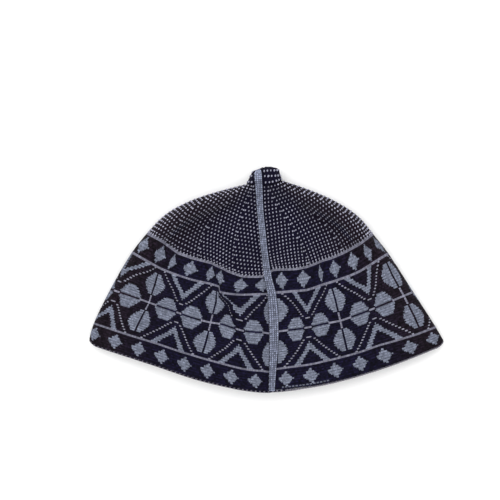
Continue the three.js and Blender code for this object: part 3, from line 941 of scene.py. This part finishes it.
# The joining seam: grey knit, raised, in upright columns, from the rim up over the knob
seamForm = {
    "height": 1.3 * mm,
    "columns": 4,
    "stepsAcross": 40,
    "rows": 680,
    "knobShare": 0.08,  # of the rows
    "length": 176 * mm,
    "stitch": 1.7 * mm,
    "ridge": 0.34 * mm,
    "loop": 0.3 * mm,
    "loopLean": 1.1,
    "lift": 0.2 * mm,  # of the whole strip over the fabric
    "liftUnder": 0.1 * mm,
    "narrower": 0.88,
    "narrowerAtKnob": 0.74,
    "narrowFrom": 0.66,  # share of lyingLength
    "narrowOver": 0.3,
    "aside": -0.35 * mm,
    "tooth": 0.6 * mm,
    "teethEvery": 2,  # stitches
    "knobEnd": 0.86,
    "roundFrom": 0.6,
    "rounding": 0.45,
    "gapShade": 0.1,  # painted shade of the yarn between its loops
    "loopShade": 1.3,
    "underShade": 0.6,
    "columnShades": (0.92, 1.14, 0.96, 1.12),
    "stitchSpread": 0.4,
    "fuzzSpread": 0.08,
    "paleFrom": 0.93,  # the end on the knob catches more light
    "paleOver": 0.05,
    "pale": 0.6,
    "course": 0.5 * mm,
    "wales": 4,  # fine wales to each column
}


def seamRelief(share, along):
    # knit columns of the seam: two leaning legs to each stitch; share runs 0 to 1 across, along in stitches
    fromMiddle = np.abs(share * seamForm["columns"] % 1 - 0.5)
    leg = np.sin(np.pi * ((along + fromMiddle * seamForm["loopLean"]) % 1)) ** 1.2
    return leg, np.cos(np.pi * fromMiddle) ** 0.9


def buildSeam():
    s = seamForm
    knobCount = int(s["rows"] * s["knobShare"])
    rows = [(rowAt(place), 0)
            for place in np.linspace(rimSetBack, 1, s["rows"] - knobCount, endpoint=False)]
    rows += [(knobRow(np.array([place])), capForm["seat"])
             for place in np.linspace(0, s["knobEnd"], knobCount)]
    profile = np.linspace(-1, 1, s["stepsAcross"] + 1)
    share = (profile + 1) / 2
    dome = (1 - np.abs(profile) ** 4) ** 0.5
    columnOf = np.minimum((share * s["columns"]).astype(int), s["columns"] - 1)
    tones = np.array(s["columnShades"])[columnOf]
    spread = 1 + s["stitchSpread"] * chance.uniform(-1, 1, (int(s["length"] / s["stitch"]) + 2, s["columns"]))
    grid, shades = [], []
    for k, (row, forward) in enumerate(rows):
        at = row["at"][0]
        along = k * s["length"] / s["rows"] / s["stitch"]
        tooth = s["tooth"] * np.abs(np.sin(along * np.pi / s["teethEvery"])) * np.clip(-profile, 0, 1) ** 6
        upper = smooth((at - s["narrowFrom"]) / s["narrowOver"])
        ending = np.clip((at - 1 - s["roundFrom"]) / (s["knobEnd"] - s["roundFrom"]), 0, 1) ** 2
        width = row["strip"] * mix(s["narrower"], s["narrowerAtKnob"], upper) * (1 - s["rounding"] * ending)
        place = row["seam"] + s["aside"] * (1 - upper) + profile * width / 2 - tooth
        base = onRows(row, shareAcross(row, place), True)
        base[:, 1] += forward
        leg, ridge = seamRelief(share, along)
        rise = dome * s["height"] + (s["ridge"] * ridge + s["loop"] * leg) * np.minimum(1, dome * 1.6)
        raised = base + np.outer(rise + s["lift"], (0, 0, 1))
        under = base[[-1, len(base) // 2, 0]] + (0, 0, s["liftUnder"])
        grid.append(np.concatenate([raised, under]))
        stitchShade = spread[int(along)][columnOf] * tones
        # painted shade between the loops, times the tone of each stitch and column
        shades.append(mix(s["gapShade"], 1, leg * ridge * s["loopShade"]) * stitchShade)
    grid, shades = np.array(grid), np.array(shades)
    total, count = grid.shape[:2]
    ends = [list(range(count))[::-1], list(range((total - 1) * count, total * count))]
    faces = gridFaces(total, count) + ends
    piece = addPiece("seam_knit", grid, faces, seamLooks, ["joining_seam"])
    cell = np.full((total - 1, count), s["underShade"])
    cell[:, :len(profile) - 1] = (shades[1:, 1:] + shades[:-1, :-1]) / 2
    placeAlong = np.linspace(0, 1, total - 1)[:, None]
    cell = cell * (1 + s["pale"] * smooth((placeAlong - s["paleFrom"]) / s["paleOver"]))
    colors = np.concatenate([(yarns["seam"] * cell[..., None]).reshape(-1, 3), [yarns["seam"]] * 2])
    paintFaces(piece, colors * (1 + s["fuzzSpread"] * chance.uniform(-1, 1, (len(faces), 1))))
    wales = np.concatenate([share * s["columns"] * s["wales"], [0, 0, 0]])
    placeStitches(piece, np.arange(total)[:, None] * s["length"] / total / s["course"], wales[None])


buildSeam()
print("seam knitted")

# The knob: the last rows drawn together and folded to the right of the seam
knobForm = {
    "rows": 48,
    "columns": 150,
    "notch": 0.9 * mm,  # depth of the notch beside the seam
    "notchWide": 0.08,  # shares across
    "split": 1.3 * mm,  # how far the notch cuts into the outline
    "splitWide": 0.12,
    "splitFrom": 0.4,  # share of the knob's length
    "bulge": 0.7 * mm,
    "bulgeWide": 0.3,
    "fromSeam": (0, 0.05, 0.42),  # where split, notch and bulge lie across, from the seam's edge
    "courses": 75,
    "wales": 15,
    "loopRows": (0.12, 0.45, 0.76),
    "loopPitch": 2.9 * mm,
    "loopWide": 1.35 * mm,
    "loopLong": 1.85 * mm,
    "loopHigh": 0.6 * mm,
    "lean": 0.3,
    "leanSpread": 0.25,
    "sizeSpread": 0.15,
    # painted light: the knob's loops lighter, as the knob catches more light
    "paintedLight": 1.25,
}


def knobPoints(at, around):
    # points on the knob, the notch beside the seam pressed in
    k = knobForm
    row = knobRow(at)
    turn = np.pi * (around + 1) / 2 % (2 * np.pi)
    across, front = -np.cos(turn), turn < np.pi
    points = onRows(row, across, front)
    points[..., 1] += capForm["seat"]
    toSplit, toNotch, toBulge = [across - seamAcross(row, 1) - away for away in k["fromSeam"]]
    notch = np.exp(-(toNotch / k["notchWide"]) ** 2) * front
    bulge = np.exp(-(toBulge / k["bulgeWide"]) ** 2) * front
    points[..., 2] += k["bulge"] * bulge * smooth((1 - at) * 4) - k["notch"] * notch
    split = np.exp(-(toSplit / k["splitWide"]) ** 2) * smooth((at - k["splitFrom"]) / (1 - k["splitFrom"]))
    points[..., 1] -= k["split"] * split
    return points


def buildKnob():
    k = knobForm
    count = k["columns"]
    places = np.linspace(0, 1, k["rows"] + 1)
    around = evenRound(count)
    grid = np.array([knobPoints(np.full(count, place), around) for place in places])
    faces = gridFaces(len(grid), count) + tipFaces(len(grid), count)
    piece = addPiece("knob_knit", withTips(grid), faces, fabricLooks, ["top_knob"])
    paintFaces(piece, yarns["ink"] * uneven(len(faces)))
    placeStitches(piece, np.arange(count)[None] * k["courses"] / count, places[:, None] * k["wales"])


def buildKnobLoops():
    # rows of light loops round the knob, from the seam's right edge to its left edge
    k = knobForm
    parts = []
    fine = np.linspace(-1, 3, 801)
    for at in k["loopRows"]:
        run = runOf(knobPoints(np.full(len(fine), at), fine))
        row = knobRow(np.array([at]))
        edges = [np.arccos(-seamAcross(row, side)[0]) * 2 / np.pi - 1 for side in (1, -1)]
        start, stop = np.interp(edges[0], fine, run), np.interp(edges[1], fine, run) + run[-1]
        count = int((stop - start) / k["loopPitch"])
        places = start + (np.arange(count) + 0.6) * (stop - start) / (count + 0.2)
        around = np.interp(places % run[-1], run, fine)
        here = np.full(count, at)
        centre = knobPoints(here, around)
        beside, above = knobPoints(here, around + 0.01), knobPoints(here + 0.02, around)
        across, along, normal = frameOf(centre, beside, above)
        lean = (k["lean"] + k["leanSpread"] * chance.uniform(-1, 1, count))[:, None]
        parts.append((centre, *leaning(across, along, normal, lean), normal))
    parts = [np.concatenate(column) for column in zip(*parts)]
    size = 1 + k["sizeSpread"] * chance.uniform(-1, 1, len(parts[0]))
    piece, total = addLoops("knob_loops", ["top_knob"], *parts, k["loopWide"] * size, k["loopLong"] * size,
                            k["loopHigh"])
    # painted light on the knob's loops
    paintFaces(piece, yarns["dot"] * k["paintedLight"] * uneven(total))


buildKnob()
buildKnobLoops()
print("knob knitted")

# The overlocked rim with its small light loops
rimForm = {
    "steps": 1500,
    "sides": 8,
    "loopPitch": 3.3 * mm,
    "closePitch": 2.1 * mm,  # right of the seam
    "closeFrom": 0.1,  # share across
    "closeLight": 0.65,
    "thin": 0.78,  # of the bead, between its loops
    "lightFrom": 0.35,
    "lightOver": 0.4,
    "inkTone": 1.3,
    "course": 0.9 * mm,
}


def buildRim():
    f, r = capForm, rimForm
    count, sides = r["steps"], r["sides"]
    around = evenRound(count)
    (outer,), shares = clothPoints([rimSetBack], [0], [around])
    (inner,), _ = clothPoints([rimSetBack], [0], [around], f["wall"])
    (beyond,), _ = clothPoints([rimSetBack + 0.05], [0], [around])
    across, along = unit(inner - outer)[:, None], unit(outer - beyond)[:, None]
    run = runOf(outer)
    right = (shares[0] > r["closeFrom"]) & (shares[0] < 1)
    loops = np.abs(np.cos(np.pi * run / np.where(right, r["closePitch"], r["loopPitch"]))) ** 4
    turn = np.linspace(0, 2 * np.pi, sides, endpoint=False)[None, :, None]
    swell = mix(r["thin"], 1, loops)[:, None, None] / 2
    middle = (outer + inner)[:, None] / 2 + along * (f["seat"] + f["edgingDepth"] / 2)
    points = (middle + along * (np.cos(turn) * f["edgingDepth"] * swell)
              + across * (np.sin(turn) * f["edgingHeight"] * swell))
    faces = gridFaces(count, sides, closed=True)
    piece = addPiece("rim_overlock", points, faces, edgeLooks, ["rim_edging"])
    light = np.maximum(smooth((loops - r["lightFrom"]) / r["lightOver"]), right * r["closeLight"])
    colors = mix(yarns["ink"] * r["inkTone"], yarns["edge"], np.repeat(light, sides)[:, None])
    paintFaces(piece, colors * uneven(len(faces)))
    placeStitches(piece, (run / r["course"])[:, None], (np.arange(sides) / 2)[None])


buildRim()
print("rim edged")

# Floor, light and camera
room = {
    "floor": 3.0,
    "floorDrop": 0.3 * mm,
    "floorTone": 0.9,
    "floorRoughness": 0.9,
    "lampSize": 1.6,
    "lampPlace": (-0.5, 0.7, 1.7),
    "lampWatts": 9,
    "worldTone": 1.35,
}
view = {"x": -12.9 * mm, "y": 22.2 * mm, "height": 3.0, "frameWidth": 0.38, "outlineHeight": 6 * mm}


def addFloor():
    half = room["floor"] / 2
    mesh = bpy.data.meshes.new("pale_floor")
    corners = [(-half, -half, 0), (half, -half, 0), (half, half, 0), (-half, half, 0)]
    mesh.from_pydata(corners, [], [(0, 1, 2, 3)])
    floor = addObject("pale_floor", mesh, (0, 0, -room["floorDrop"]))
    paper = bpy.data.materials.new("pale_paper")
    paper.use_nodes = True
    shader = paper.node_tree.nodes["Principled BSDF"]
    shader.inputs["Base Color"].default_value = (room["floorTone"],) * 3 + (1,)
    shader.inputs["Roughness"].default_value = room["floorRoughness"]
    mesh.materials.append(paper)


def addLamp():
    # one wide soft lamp, turned to the cap
    data = bpy.data.lights.new("soft_top", "AREA")
    data.shape = "DISK"
    data.size = room["lampSize"]
    data.energy = room["lampWatts"]
    lamp = addObject("soft_top", data, room["lampPlace"])
    lamp.rotation_euler = Vector(room["lampPlace"]).to_track_quat("Z", "Y").to_euler()


def addCamera():
    data = bpy.data.cameras.new("camera")
    data.sensor_width = 36
    data.lens = data.sensor_width * (view["height"] - view["outlineHeight"]) / view["frameWidth"]
    bpy.context.scene.camera = addObject("camera", data, (view["x"], view["y"], view["height"]))


addFloor()
addLamp()
world = bpy.data.worlds.new("pale_room")
world.use_nodes = True
world.node_tree.nodes["Background"].inputs["Color"].default_value = (room["worldTone"],) * 3 + (1,)
bpy.context.scene.world = world
bpy.context.scene.view_settings.view_transform = "Standard"
addCamera()
